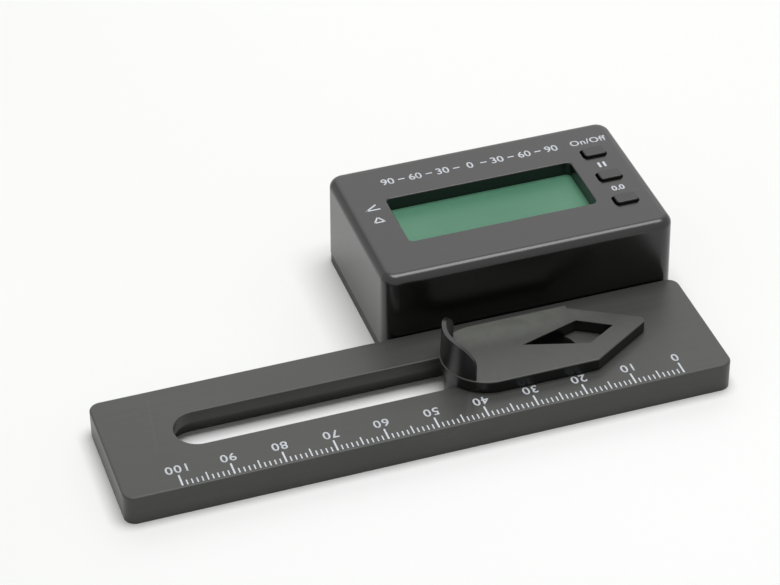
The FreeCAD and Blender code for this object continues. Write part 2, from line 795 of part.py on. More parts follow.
def make_retainer():
    """The wide plate under the ledges; its narrow left end carries the block's round end on down."""
    nose = stadium(block_left, block_left + block_length, slot_y, 2 * block_half_width,
                   retainer_bottom, retainer_top)
    left = block_left + retainer_shoulder
    half = retainer_half_width
    tail_x = retainer_right - half
    wide = block(left, tail_x, slot_y - half, slot_y + half, retainer_bottom, retainer_top)
    square_end = [e for e in upright_edges(wide) if e.BoundBox.XMax < left + 0.1]
    wide = wide.makeFillet(retainer_corner_radius, square_end)
    tail = cylinder(tail_x, slot_y, retainer_bottom, retainer_top, half)
    retainer = wide.fuse([nose, tail]).removeSplitter()
    for x in retainer_screw_xs():
        retainer = retainer.cut(countersink(x, slot_y, retainer_bottom, retainer_thickness + 1.0))
    return retainer


def make_friction_spring():
    """A bowed leaf that lies in the block's pocket and reaches for the slot's rear wall."""
    crown = slot_y + slot_width / 2 - spring_wall_gap
    foot = slot_y + block_half_width - spring_pocket_depth
    x = spring_middle()
    half = spring_chord / 2
    z = spring_bottom()
    t = spring_thickness
    a, b = point(x - half, foot + t, z), point(x + half, foot + t, z)
    c, d = point(x + half, foot, z), point(x - half, foot, z)
    edges = [Part.Arc(a, point(x, crown, z), b).toShape(), Part.LineSegment(b, c).toShape(),
             Part.Arc(c, point(x, crown - t, z), d).toShape(), Part.LineSegment(d, a).toShape()]
    return Part.Face(Part.Wire(edges)).extrude(point(0, 0, spring_height))


def make_parts():
    parts = {
        "ruler_plate": make_ruler(),
        "upper_housing": make_upper_housing(),
        "bottom_cover": make_bottom_cover(),
        "battery_door": make_battery_door(),
        "battery_cell": make_battery_cell(),
        "negative_contact": make_negative_contact(),
        "positive_contact": make_positive_contact(),
        "circuit_board": make_circuit_board(),
        "lcd_panel": make_lcd_panel(),
        "lcd_reflector": make_lcd_reflector(),
        "lcd_connector_front": make_lcd_connector(glass_front + glass_ledge / 2),
        "lcd_connector_rear": make_lcd_connector(glass_rear - glass_ledge / 2),
        "controller_chip": make_controller_chip(),
        "tilt_sensor": make_tilt_sensor(),
        "crystal": make_crystal(),
        "capacitors": make_small_parts(capacitor_count, cell_y + capacitor_row, capacitor_height),
        "resistors": make_small_parts(resistor_count, cell_y - resistor_row, resistor_height),
        "slider_plate": make_slider_plate(),
        "slider_retainer": make_retainer(),
        "friction_spring": make_friction_spring(),
    }
    for name, y in zip(key_names, key_ys):
        parts[name + "_button"] = make_key(y)
        parts[name + "_switch"] = make_switch(y)
        parts[name + "_plunger"] = make_plunger(y)
    parts["housing_screws"] = Part.makeCompound(
        [countersunk_screw(x, y, screw_sink, housing_screw_length) for x, y in boss_places])
    parts["ruler_screw"] = countersunk_screw(ruler_screw_x, ruler_screw_y, screw_sink, ruler_screw_length)
    parts["board_screws"] = Part.makeCompound(
        [pan_screw(x, y, board_bottom, board_screw_length) for x, y in post_places])
    parts["retainer_screws"] = Part.makeCompound(
        [countersunk_screw(x, slot_y, retainer_bottom + screw_sink, retainer_screw_length)
         for x in retainer_screw_xs()])
    return parts


os.makedirs("parts", exist_ok=True)
for node, shape in make_parts().items():
    shape.exportStep("parts/" + node + ".step")
    print(node, "solids", len(shape.Solids), "volume", round(shape.Volume, 1), "valid", shape.isValid())
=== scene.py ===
# %% [markdown]
# A pocket angle gauge, dressed for its picture.
#
# The gauge is a flat ruler with a slot and a sliding arrow. Behind the ruler stands a small box
# with a display and three keys. Its solids come from a CAD model, so their shapes and places are
# fixed. What is left to make here is what the eye reads as material: satin and glossy mouldings,
# white print, a grey-green display, steel screws, and the light that shows them.

# %% Load the CAD model as a fixed frame
import math

import bmesh
import bpy
from mathutils import Matrix, Vector


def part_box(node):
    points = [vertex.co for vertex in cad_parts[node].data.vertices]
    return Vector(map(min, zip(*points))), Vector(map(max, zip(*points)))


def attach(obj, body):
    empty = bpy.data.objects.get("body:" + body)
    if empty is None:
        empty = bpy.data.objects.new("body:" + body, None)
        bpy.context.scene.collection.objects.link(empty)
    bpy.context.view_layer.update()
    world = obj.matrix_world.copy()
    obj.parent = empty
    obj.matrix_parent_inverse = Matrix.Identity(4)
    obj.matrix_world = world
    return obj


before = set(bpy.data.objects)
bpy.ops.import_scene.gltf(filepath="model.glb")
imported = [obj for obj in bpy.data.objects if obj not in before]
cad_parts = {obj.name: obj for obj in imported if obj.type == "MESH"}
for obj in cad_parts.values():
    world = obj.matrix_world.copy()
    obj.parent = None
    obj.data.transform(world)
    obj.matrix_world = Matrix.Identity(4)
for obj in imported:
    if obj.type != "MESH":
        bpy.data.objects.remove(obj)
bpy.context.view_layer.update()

MM = 0.001
MICRON = 0.000001

# %% [markdown]
# The camera.
#
# The picture was taken from in front of the ruler and a little to its left, looking down. A long
# lens keeps the far edge of the box almost as long as the near one. The camera could be aimed at
# the object by a constraint, but an azimuth, an elevation and a small roll say plainly how it was
# held, and they can be changed one at a time.

# %% Place the camera
CAMERA_PLACE = Vector((-133.73, -413.86, 348.44)) * MM
CAMERA_AZIMUTH = 18.142
CAMERA_ELEVATION = 37.531
CAMERA_ROLL = -0.7
CAMERA_LENS = 129.6
SENSOR_WIDTH = 36.0

camera_data = bpy.data.cameras.new("camera")
camera_data.sensor_width = SENSOR_WIDTH
camera_data.lens = CAMERA_LENS
camera_data.clip_start = 10 * MM
camera_data.clip_end = 50.0
camera = bpy.data.objects.new("camera", camera_data)
bpy.context.scene.collection.objects.link(camera)
heading = Matrix.Rotation(math.radians(-CAMERA_AZIMUTH), 4, "Z")
tilt = Matrix.Rotation(math.radians(90.0 - CAMERA_ELEVATION), 4, "X")
roll = Matrix.Rotation(math.radians(CAMERA_ROLL), 4, "Z")
camera.matrix_world = Matrix.Translation(CAMERA_PLACE) @ heading @ tilt @ roll
bpy.context.scene.camera = camera
print("camera at", [round(v, 4) for v in camera.location])

# %% [markdown]
# Helpers for materials.
#
# Every finish below is a Principled BSDF. Procedural textures drive its colour, and on most pieces
# its roughness and bump too. Patterns that several finishes share are node groups with named
# sockets, so that each material can set its own sizes and strengths. A few small helpers keep the
# wiring readable.


# %% Helpers that build node trees
def new_group(name, inputs, outputs):
    """An empty shader group with its sockets, and its input and output nodes."""
    group = bpy.data.node_groups.new(name, "ShaderNodeTree")
    for socket_name, kind, value in inputs:
        socket = group.interface.new_socket(socket_name, in_out="INPUT", socket_type=kind)
        socket.default_value = value
    for socket_name, kind in outputs:
        group.interface.new_socket(socket_name, in_out="OUTPUT", socket_type=kind)
    return group, group.nodes.new("NodeGroupInput"), group.nodes.new("NodeGroupOutput")


def add(tree, kind, settings=None, **links):
    """A node with its settings and inputs; an input is a number, a colour or a socket to join."""
    node = tree.nodes.new(kind)
    for name, value in (settings or {}).items():
        setattr(node, name, value)
    for name, value in links.items():
        socket = node.inputs[int(name[1:])] if name[1:].isdigit() else node.inputs[name.replace("_", " ")]
        if isinstance(value, bpy.types.NodeSocket):
            tree.links.new(value, socket)
        else:
            socket.default_value = value
    return node


def math_node(tree, operation, a, b=0.0, clamp=False):
    return add(tree, "ShaderNodeMath", {"operation": operation, "use_clamp": clamp}, i0=a, i1=b).outputs[0]


def mix_colour(tree, factor, a, b, blend="MIX"):
    node = add(tree, "ShaderNodeMix", {"data_type": "RGBA", "blend_type": blend}, i0=factor, i6=a, i7=b)
    return node.outputs[2]


def ramp(tree, value, low, high, out_low=0.0, out_high=1.0):
    """A smooth rise from out_low to out_high as the value goes from low to high."""
    node = add(tree, "ShaderNodeMapRange", {"interpolation_type": "SMOOTHSTEP"},
               Value=value, From_Min=low, From_Max=high, To_Min=out_low, To_Max=out_high)
    return node.outputs[0]


def noise(tree, vector, scale, detail=3.0, roughness=0.5):
    return add(tree, "ShaderNodeTexNoise", None, Vector=vector, Scale=scale, Detail=detail,
               Roughness=roughness).outputs[0]


def object_point(tree):
    return tree.nodes.new("ShaderNodeTexCoord").outputs["Object"]


def stretched(tree, vector, scale):
    return add(tree, "ShaderNodeMapping", {"vector_type": "POINT"}, Vector=vector, Scale=scale).outputs[0]


FLOAT = "NodeSocketFloat"
COLOUR = "NodeSocketColor"


# %% [markdown]
# Moulded skin.
#
# The housing of such a gauge is injection-moulded in black plastic. The mould leaves a fine satin
# texture, and the colour is not perfectly even. Here one group gives a slow mottle for the
# colour, a fine grain for the bump, and a roughness that follows both a little.

# %% Make the moulded skin group
def make_moulded_skin():
    group, given, out = new_group(
        "moulded skin",
        [("Colour", COLOUR, (0.03, 0.03, 0.03, 1)), ("Mottle", FLOAT, 0.1), ("Mottle Scale", FLOAT, 60.0),
         ("Grain Scale", FLOAT, 6000.0), ("Roughness", FLOAT, 0.4), ("Roughness Spread", FLOAT, 0.05)],
        [("Colour", COLOUR), ("Roughness", FLOAT), ("Height", FLOAT)])
    place = object_point(group)
    slow = noise(group, place, given.outputs["Mottle Scale"], 4.0, 0.6)
    grain = noise(group, place, given.outputs["Grain Scale"], 2.0, 0.55)
    swing = math_node(group, "MULTIPLY", math_node(group, "SUBTRACT", slow, 0.5), given.outputs["Mottle"])
    gain = math_node(group, "ADD", math_node(group, "MULTIPLY", swing, 2.0), 1.0)
    colour = add(group, "ShaderNodeVectorMath", {"operation": "SCALE"},
                 i0=given.outputs["Colour"], Scale=gain).outputs[0]
    both = math_node(group, "ADD", math_node(group, "MULTIPLY", slow, 0.6),
                     math_node(group, "MULTIPLY", grain, 0.4))
    spread = math_node(group, "MULTIPLY", math_node(group, "SUBTRACT", both, 0.5),
                       given.outputs["Roughness Spread"])
    rough = math_node(group, "ADD", math_node(group, "MULTIPLY", spread, 2.0),
                      given.outputs["Roughness"], clamp=True)
    group.links.new(colour, out.inputs["Colour"])
    group.links.new(rough, out.inputs["Roughness"])
    group.links.new(grain, out.inputs["Height"])
    return group


moulded_skin = make_moulded_skin()
print("group", moulded_skin.name)


# %% [markdown]
# Flow streaks.
#
# A long flat moulding such as the ruler shows faint streaks along its length, where the plastic
# ran through the mould and where fingers and cloths have wiped it. A noise that is stretched along
# one axis draws them.

# %% Make the streak group
def make_streaks():
    group, given, out = new_group(
        "streaks",
        [("Along", FLOAT, 30.0), ("Across", FLOAT, 900.0), ("Threshold", FLOAT, 0.5)],
        [("Mask", FLOAT)])
    place = object_point(group)
    parts = add(group, "ShaderNodeSeparateXYZ", None, Vector=place)
    x = math_node(group, "MULTIPLY", parts.outputs[0], given.outputs["Along"])
    y = math_node(group, "MULTIPLY", parts.outputs[1], given.outputs["Across"])
    z = math_node(group, "MULTIPLY", parts.outputs[2], given.outputs["Across"])
    lengthened = add(group, "ShaderNodeCombineXYZ", None, X=x, Y=y, Z=z).outputs[0]
    lines = noise(group, lengthened, 1.0, 3.0, 0.6)
    patches = noise(group, place, 45.0, 2.0)
    product = math_node(group, "MULTIPLY", lines, math_node(group, "ADD", patches, 0.5))
    high = math_node(group, "ADD", given.outputs["Threshold"], 0.25)
    group.links.new(ramp(group, product, given.outputs["Threshold"], high), out.inputs["Mask"])
    return group


streaks = make_streaks()
print("group", streaks.name)


# %% [markdown]
# Handling marks.
#
# Black plastic shows every light scratch and speck of dust. Scratches are the thin borders of very
# long Voronoi cells, kept only in patches. Specks are the middles of a few cells, chosen by the
# random colour that each cell has.

# %% Make the handling marks group
def make_handling_marks():
    group, given, out = new_group(
        "handling marks",
        [("Scratch Scale", FLOAT, 60.0), ("Scratch Width", FLOAT, 0.012), ("Speck Scale", FLOAT, 120.0),
         ("Speck Size", FLOAT, 0.03), ("Speck Share", FLOAT, 0.02)],
        [("Scratches", FLOAT), ("Specks", FLOAT)])
    place = object_point(group)
    turned = add(group, "ShaderNodeMapping", {"vector_type": "POINT"}, Vector=place,
                 Rotation=(0.2, 0.1, 0.7), Scale=(1.0, 0.12, 1.0)).outputs[0]
    cells = add(group, "ShaderNodeTexVoronoi", {"feature": "DISTANCE_TO_EDGE"}, Vector=turned,
                Scale=given.outputs["Scratch Scale"])
    thin = ramp(group, cells.outputs["Distance"], 0.0, given.outputs["Scratch Width"], 1.0, 0.0)
    patches = ramp(group, noise(group, place, 90.0, 2.0), 0.5, 0.62)
    group.links.new(math_node(group, "MULTIPLY", thin, patches), out.inputs["Scratches"])
    dots = add(group, "ShaderNodeTexVoronoi", {"feature": "F1"}, Vector=place,
               Scale=given.outputs["Speck Scale"])
    near = ramp(group, dots.outputs["Distance"], 0.0, given.outputs["Speck Size"], 1.0, 0.0)
    red = add(group, "ShaderNodeSeparateColor", None, Color=dots.outputs["Color"]).outputs[0]
    chosen = math_node(group, "LESS_THAN", red, given.outputs["Speck Share"])
    group.links.new(math_node(group, "MULTIPLY", near, chosen), out.inputs["Specks"])
    return group


handling_marks = make_handling_marks()
print("group", handling_marks.name)


# %% Helpers that make a material and place a group in it
def new_material(name):
    """A material with a Principled BSDF, and its tree and shader."""
    material = bpy.data.materials.new(name)
    material.use_nodes = True
    tree = material.node_tree
    return material, tree, tree.nodes["Principled BSDF"]


def place_group(tree, group, **values):
    """A group node with its own values, given by socket names with _ for a space."""
    node = tree.nodes.new("ShaderNodeGroup")
    node.node_tree = group
    for name, value in values.items():
        socket = node.inputs[name.replace("_", " ")]
        if isinstance(value, bpy.types.NodeSocket):
            tree.links.new(value, socket)
        else:
            socket.default_value = value
    return node


def bump(tree, shader, height, distance, strength=1.0):
    node = add(tree, "ShaderNodeBump", None, Height=height, Distance=distance, Strength=strength)
    tree.links.new(node.outputs[0], shader.inputs["Normal"])


def rgb(red, green, blue):
    """A colour as it looks on screen, from 0 to 255, turned to the linear values that nodes use."""
    def linear(channel):
        c = channel / 255.0
        return c / 12.92 if c <= 0.04045 else ((c + 0.055) / 1.055) ** 2.4
    return (linear(red), linear(green), linear(blue), 1.0)


# %% [markdown]
# The black plastics.
#
# The mouldings share one recipe and differ in colour and gloss. The box and the keys are satin, and
# the cover under the box is duller, because its half of the mould was eroded more coarsely. The
# ruler has faint streaks along it. The slider is the blackest. Marks lighten the colour a little
# and take away some of the gloss.

# %% Make the black plastics
SCRATCH_COLOUR = rgb(170, 172, 170)
SCRATCH_COVER = 0.12
SCRATCH_DULLING = 0.15
SPECK_COLOUR = rgb(190, 190, 182)
SPECK_COVER = 0.5
STREAK_COLOUR = rgb(92, 94, 92)
STREAK_DULLING = 0.25
# The pale patch painted on the slider's top: painted sheen together with wear.
SHEEN_AND_SCUFF_COLOUR = rgb(112, 114, 108)
SHEEN_AND_SCUFF_COVER = 0.6
SCUFF_DULLING = 0.2


def make_black_plastic(name, colour, roughness, index=1.48, shine=0.5, streak=0.0, grain_height=0.8,
                       marks=0.2, sheen_and_scuff=None):
    material, tree, shader = new_material(name)
    skin = place_group(tree, moulded_skin, Colour=colour, Mottle=0.12, Mottle_Scale=55.0,
                       Grain_Scale=5200.0, Roughness=roughness, Roughness_Spread=0.05)
    wear = place_group(tree, handling_marks, Scratch_Scale=70.0, Scratch_Width=0.014,
                       Speck_Scale=160.0, Speck_Size=0.05, Speck_Share=0.006)
    scratches = math_node(tree, "MULTIPLY", wear.outputs["Scratches"], marks)
    specks = math_node(tree, "MULTIPLY", wear.outputs["Specks"], min(1.0, 2 * marks))
    colour_out = mix_colour(tree, math_node(tree, "MULTIPLY", scratches, SCRATCH_COVER),
                            skin.outputs["Colour"], SCRATCH_COLOUR)
    colour_out = mix_colour(tree, math_node(tree, "MULTIPLY", specks, SPECK_COVER),
                            colour_out, SPECK_COLOUR)
    rough_out = math_node(tree, "ADD", skin.outputs["Roughness"],
                          math_node(tree, "MULTIPLY", scratches, SCRATCH_DULLING), clamp=True)
    if streak > 0.0:
        lines = place_group(tree, streaks, Along=40.0, Across=1700.0, Threshold=0.42)
        faint = math_node(tree, "MULTIPLY", lines.outputs["Mask"], streak)
        duller = math_node(tree, "MULTIPLY", faint, STREAK_DULLING)
        colour_out = mix_colour(tree, faint, colour_out, STREAK_COLOUR)
        rough_out = math_node(tree, "ADD", rough_out, duller, clamp=True)
    # A pale patch painted on a top face: painted sheen together with wear, and a little more roughness.
    if sheen_and_scuff is not None:
        sheen_and_wear = sheen_and_scuff(tree)
        paler = math_node(tree, "MULTIPLY", sheen_and_wear, SHEEN_AND_SCUFF_COVER)
        duller = math_node(tree, "MULTIPLY", sheen_and_wear, SCUFF_DULLING)
        colour_out = mix_colour(tree, paler, colour_out, SHEEN_AND_SCUFF_COLOUR)
        rough_out = math_node(tree, "ADD", rough_out, duller, clamp=True)
    tree.links.new(colour_out, shader.inputs["Base Color"])
    tree.links.new(rough_out, shader.inputs["Roughness"])
    shader.inputs["IOR"].default_value = index
    shader.inputs["Specular IOR Level"].default_value = shine
    bump(tree, shader, skin.outputs["Height"], grain_height * MICRON)
    return material


housing_plastic = make_black_plastic("housing plastic", rgb(13, 13, 12), 0.25, index=1.55, grain_height=0.5,
                                     marks=0.08)
cover_plastic = make_black_plastic("cover plastic", rgb(20, 20, 19), 0.44, grain_height=2.5)
key_plastic = make_black_plastic("key plastic", rgb(18, 18, 17), 0.28)
ruler_plastic = make_black_plastic("ruler plastic", rgb(66, 67, 64), 0.36, shine=0.36, streak=0.06,
                                   grain_height=1.2)
print("plastics", [m.name for m in (housing_plastic, cover_plastic, key_plastic, ruler_plastic)])

# %% [markdown]
# The slider's painted sheen and scuffs.
#
# The thumb and the box's front wall rub the rear half of the slider's plate, so it has gone duller
# there. Its colour there is painted paler, most of all beside the finger lip: partly wear, and partly
# a painted sheen of the bright light behind the gauge. The mask is a soft patch laid out in the
# slider's own coordinates. It fades towards the arrow and breaks up with a noise. The rest of the
# plate's top is painted a little paler too, as painted sheen and wear. Its sides and the finger lip
# are not, so they stay darker.

# %% Make the slider plastic with its painted sheen and scuffs
# Where the painted sheen and scuffs lie on the slider's plate.
SHEEN_AND_SCUFF_FRONT_Y = -19.0 * MM
SHEEN_AND_SCUFF_REAR_Y = -11.0 * MM
SHEEN_AND_SCUFF_LEFT_X = 20.0 * MM
SHEEN_AND_SCUFF_RIGHT_X = 60.0 * MM
SHEEN_AND_SCUFF_LOW_Z = 8.7 * MM
SHEEN_AND_SCUFF_HIGH_Z = 9.05 * MM
SHEEN_AND_SCUFF_ALL_OVER = 0.4


def slider_scuff(tree):
    """A mask of the pale patch on top of the slider's plate: painted sheen together with rubbed wear."""
    place = object_point(tree)
    parts = add(tree, "ShaderNodeSeparateXYZ", None, Vector=place)
    across = ramp(tree, parts.outputs[1], SHEEN_AND_SCUFF_FRONT_Y, SHEEN_AND_SCUFF_REAR_Y)
    along = ramp(tree, parts.outputs[0], SHEEN_AND_SCUFF_LEFT_X, SHEEN_AND_SCUFF_RIGHT_X, out_low=1.0, out_high=0.0)
    above = math_node(tree, "GREATER_THAN", parts.outputs[2], SHEEN_AND_SCUFF_LOW_Z)
    below = math_node(tree, "LESS_THAN", parts.outputs[2], SHEEN_AND_SCUFF_HIGH_Z)
    on_top = math_node(tree, "MULTIPLY", above, below)
    clouds = ramp(tree, noise(tree, place, 240.0, 5.0, 0.65), 0.32, 0.6, out_low=0.82)
    patch = ramp(tree, math_node(tree, "MULTIPLY", across, along), 0.0, 1.0, out_low=SHEEN_AND_SCUFF_ALL_OVER)
    return math_node(tree, "MULTIPLY", math_node(tree, "MULTIPLY", patch, on_top), clouds)


slider_plastic = make_black_plastic("slider plastic", rgb(8, 8, 8), 0.30, grain_height=0.3, marks=0.35,
                                    sheen_and_scuff=slider_scuff)
print("slider plastic", len(slider_plastic.node_tree.nodes), "nodes")


# %% [markdown]
# The display.
#
# An unpowered liquid-crystal display is a plain grey-green: a matte polariser on glass over a film.
# Real layered glass would need many light bounces to look right, so the glass is opaque here and
# carries the film's colour. The polariser has an anti-glare coat, so it mirrors the window's walls
# only as a soft haze, and a faint cloudiness keeps it from looking like paint.

# %% Make the display glass and the film behind it
def make_display_glass():
    material, tree, shader = new_material("display glass")
    place = object_point(tree)
    cloud = noise(tree, place, 40.0, 3.0)
    fine = noise(tree, place, 900.0, 2.0)
    tone = math_node(tree, "ADD", math_node(tree, "MULTIPLY", cloud, 0.8),
                     math_node(tree, "MULTIPLY", fine, 0.2))
    colour = mix_colour(tree, ramp(tree, tone, 0.3, 0.7), rgb(72, 122, 97), rgb(80, 129, 103))
    tree.links.new(colour, shader.inputs["Base Color"])
    tree.links.new(ramp(tree, fine, 0.2, 0.8, out_low=0.42, out_high=0.52), shader.inputs["Roughness"])
    shader.inputs["Specular IOR Level"].default_value = 0.35
    return material


def make_reflector_film():
    material, tree, shader = new_material("reflector film")
    skin = place_group(tree, moulded_skin, Colour=rgb(150, 172, 156), Mottle=0.05, Mottle_Scale=90.0,
                       Grain_Scale=4000.0, Roughness=0.55, Roughness_Spread=0.05)
    tree.links.new(skin.outputs["Colour"], shader.inputs["Base Color"])
    tree.links.new(skin.outputs["Roughness"], shader.inputs["Roughness"])
    bump(tree, shader, skin.outputs["Height"], 1.0 * MICRON)
    return material


display_glass = make_display_glass()
reflector_film = make_reflector_film()
print("display", display_glass.name, reflector_film.name)


# %% [markdown]
# White print.
#
# The scale and the marks are pad-printed in white ink. Ink on plastic is not quite even: its edge
# breaks up a little and thin places let the black through. A fine noise does that in the colour.

# %% Make the ink
def make_ink():
    material, tree, shader = new_material("white ink")
    place = object_point(tree)
    fine = noise(tree, place, 2600.0, 3.0, 0.6)
    slow = noise(tree, place, 120.0, 2.0)
    both = math_node(tree, "ADD", math_node(tree, "MULTIPLY", fine, 0.7),
                     math_node(tree, "MULTIPLY", slow, 0.3))
    thin = ramp(tree, both, 0.30, 0.46, out_low=1.0, out_high=0.0)
    colour = mix_colour(tree, math_node(tree, "MULTIPLY", thin, 0.55), rgb(205, 210, 216), rgb(96, 99, 102))
    tree.links.new(colour, shader.inputs["Base Color"])
    tree.links.new(ramp(tree, fine, 0.2, 0.8, out_low=0.5, out_high=0.68), shader.inputs["Roughness"])
    bump(tree, shader, fine, 4.0 * MICRON)
    return material


white_ink = make_ink()
print("ink", white_ink.name)


# %% [markdown]
# Metals.
#
# The screws, the coin cell, its contacts and the crystal's can are all steel under some plating.
# Machined or drawn steel has fine lines. Here the lines are a stretched noise in the roughness and
# bump, and the tint says which plating it is.

# %% Make the metals
STAIN_SHADE = 0.72


def make_metal(name, colour, roughness, along, across):
    material, tree, shader = new_material(name)
    place = object_point(tree)
    lines = noise(tree, stretched(tree, place, (along, across, along)), 1.0, 3.0, 0.6)
    stain = noise(tree, place, 300.0, 3.0)
    dark = tuple(STAIN_SHADE * c for c in colour[:3]) + (1.0,)
    tint = mix_colour(tree, ramp(tree, stain, 0.35, 0.75), colour, dark)
    rough = ramp(tree, lines, 0.25, 0.75, out_low=roughness - 0.07, out_high=roughness + 0.09)
    tree.links.new(tint, shader.inputs["Base Color"])
    tree.links.new(rough, shader.inputs["Roughness"])
    shader.inputs["Metallic"].default_value = 1.0
    bump(tree, shader, lines, 1.5 * MICRON)
    return material


screw_steel = make_metal("screw steel", rgb(170, 171, 170), 0.34, 900.0, 6000.0)
cell_steel = make_metal("cell steel", rgb(205, 205, 202), 0.26, 300.0, 7000.0)
contact_metal = make_metal("contact metal", rgb(214, 208, 190), 0.24, 500.0, 6000.0)
spring_steel = make_metal("spring steel", rgb(186, 186, 184), 0.28, 400.0, 6000.0)
print("metals", [m.name for m in (screw_steel, cell_steel, contact_metal, spring_steel)])


# %% [markdown]
# What is inside the box.
#
# Nobody sees these pieces until the box is opened, but each still gets its own finish: a green
# board crossed by paler lines, moulded chip packages, plain ceramic parts, striped rubber
# connectors, and the two plastics of the switches.

# %% Make the board and its parts
def make_board():
    material, tree, shader = new_material("board laminate")
    place = object_point(tree)
    tracks = add(tree, "ShaderNodeTexBrick", {"offset": 0.5}, Vector=place, Scale=420.0, Mortar_Size=0.035,
                 Color1=rgb(16, 92, 48), Color2=rgb(20, 100, 52), Mortar=rgb(40, 128, 66))
    weave = noise(tree, place, 3000.0, 2.0)
    tree.links.new(mix_colour(tree, math_node(tree, "MULTIPLY", weave, 0.2), tracks.outputs["Color"],
                              rgb(10, 70, 36)), shader.inputs["Base Color"])
    tree.links.new(ramp(tree, weave, 0.2, 0.8, out_low=0.28, out_high=0.4), shader.inputs["Roughness"])
    bump(tree, shader, tracks.outputs["Fac"], -6.0 * MICRON)
    return material


def make_plain_skin(name, colour, roughness, mottle=0.08, grain=4500.0, height=2.0):
    material, tree, shader = new_material(name)
    skin = place_group(tree, moulded_skin, Colour=colour, Mottle=mottle, Mottle_Scale=180.0,
                       Grain_Scale=grain, Roughness=roughness, Roughness_Spread=0.06)
    tree.links.new(skin.outputs["Colour"], shader.inputs["Base Color"])
    tree.links.new(skin.outputs["Roughness"], shader.inputs["Roughness"])
    bump(tree, shader, skin.outputs["Height"], height * MICRON)
    return material


def make_striped_rubber():
    material, tree, shader = new_material("striped rubber")
    place = object_point(tree)
    bands = add(tree, "ShaderNodeTexWave", {"wave_type": "BANDS", "bands_direction": "X"}, Vector=place,
                Scale=1600.0, Distortion=0.2)
    tree.links.new(mix_colour(tree, ramp(tree, bands.outputs["Fac"], 0.4, 0.6), rgb(186, 120, 108),
                              rgb(34, 30, 30)), shader.inputs["Base Color"])
    shader.inputs["Roughness"].default_value = 0.62
    bump(tree, shader, bands.outputs["Fac"], 3.0 * MICRON)
    return material


board_laminate = make_board()
chip_resin = make_plain_skin("chip resin", rgb(38, 38, 40), 0.55)
capacitor_ceramic = make_plain_skin("capacitor ceramic", rgb(176, 140, 98), 0.5)
resistor_ceramic = make_plain_skin("resistor ceramic", rgb(40, 41, 44), 0.35)
switch_plastic = make_plain_skin("switch plastic", rgb(48, 48, 48), 0.48)
plunger_plastic = make_plain_skin("plunger plastic", rgb(214, 210, 196), 0.45)
connector_rubber = make_striped_rubber()
print("inner finishes", [m.name for m in (board_laminate, chip_resin, capacitor_ceramic,
                                          resistor_ceramic, switch_plastic, plunger_plastic,
                                          connector_rubber)])


# %% [markdown]
# Finish every CAD piece.
#
# The names on the left are the model's own. Two tables keep the choice of finish in one place, one
# by whole name and one by ending. A piece that neither table names stops the script.

# %% Give each CAD piece its material
def finish_of(node):
    """The material of a CAD piece, chosen by its name."""
    by_name = {
        "ruler_plate": ruler_plastic, "upper_housing": housing_plastic, "bottom_cover": cover_plastic,
        "battery_door": cover_plastic, "slider_plate": slider_plastic, "slider_retainer": slider_plastic,
        "lcd_panel": display_glass, "lcd_reflector": reflector_film,
        "lcd_connector_front": connector_rubber, "lcd_connector_rear": connector_rubber,
        "circuit_board": board_laminate, "controller_chip": chip_resin, "tilt_sensor": chip_resin,
        "crystal": cell_steel, "battery_cell": cell_steel, "capacitors": capacitor_ceramic,
        "resistors": resistor_ceramic, "positive_contact": contact_metal,
        "negative_contact": contact_metal, "friction_spring": spring_steel,
    }
    by_ending = {"_button": key_plastic, "_switch": switch_plastic, "_plunger": plunger_plastic,
                 "_screws": screw_steel, "_screw": screw_steel}
    if node in by_name:
        return by_name[node]
    return next(material for ending, material in by_ending.items() if node.endswith(ending))


for name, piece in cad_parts.items():
    material = finish_of(name)
    if not piece.material_slots:
        piece.data.materials.append(material)
    for material_slot in piece.material_slots:
        material_slot.material = material
print("finished", len(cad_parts), "CAD pieces")

# %% [markdown]
# Measure where the print goes.
#
# The ink lies on two faces: the top of the ruler and the top of the box. Their heights, the
# ruler's ends, the middle of the box and the keys are read from the CAD model, and all the print is
# placed from these. So it stays on its faces if the model changes.

# %% Read the faces that carry print
ruler_low, ruler_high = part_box("ruler_plate")
housing_low, housing_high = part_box("upper_housing")
key_boxes = {name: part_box(name + "_button") for name in ("power", "hold", "zero")}

ZERO_FROM_RIGHT_END = 10.2 * MM
INK_THICKNESS = 0.02 * MM
INK_SINK = 0.004 * MM
BAR_CORNER_SHARE = 0.22
ruler_face = ruler_high.z
housing_face = housing_high.z
box_middle = (housing_low + housing_high) / 2
zero_x = ruler_high.x - ZERO_FROM_RIGHT_END
front_y = ruler_low.y
print("ruler face", round(ruler_face, 5), "box face", round(housing_face, 5), "zero at", round(zero_x, 5))
print("middle of the box", round(box_middle.x, 6), round(box_middle.y, 6))


# %% [markdown]
# Tools for making ink.
#
# Every mark is a thin flat sheet of ink with real edges. A bar is a grid of one cell, extruded by
# the ink's thickness. Text is made by Blender's own font, turned into a mesh and then scaled so
# that the words, from their lowest point to their highest, have the height asked for.

# %% Helpers that make ink
def new_piece(name, shape, material):
    """An object at the origin from a bmesh in metres, given a material and the gauge to ride on."""
    mesh = bpy.data.meshes.new(name)
    shape.to_mesh(mesh)
    shape.free()
    mesh.materials.append(material)
    piece = bpy.data.objects.new(name, mesh)
    bpy.context.scene.collection.objects.link(piece)
    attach(piece, "gauge")
    return piece


def raise_ink(shape, faces):
    """Extrudes flat faces upwards by the thickness of the ink."""
    result = bmesh.ops.extrude_face_region(shape, geom=faces)
    lifted = [item for item in result["geom"] if isinstance(item, bmesh.types.BMVert)]
    bmesh.ops.translate(shape, verts=lifted, vec=(0, 0, INK_THICKNESS))


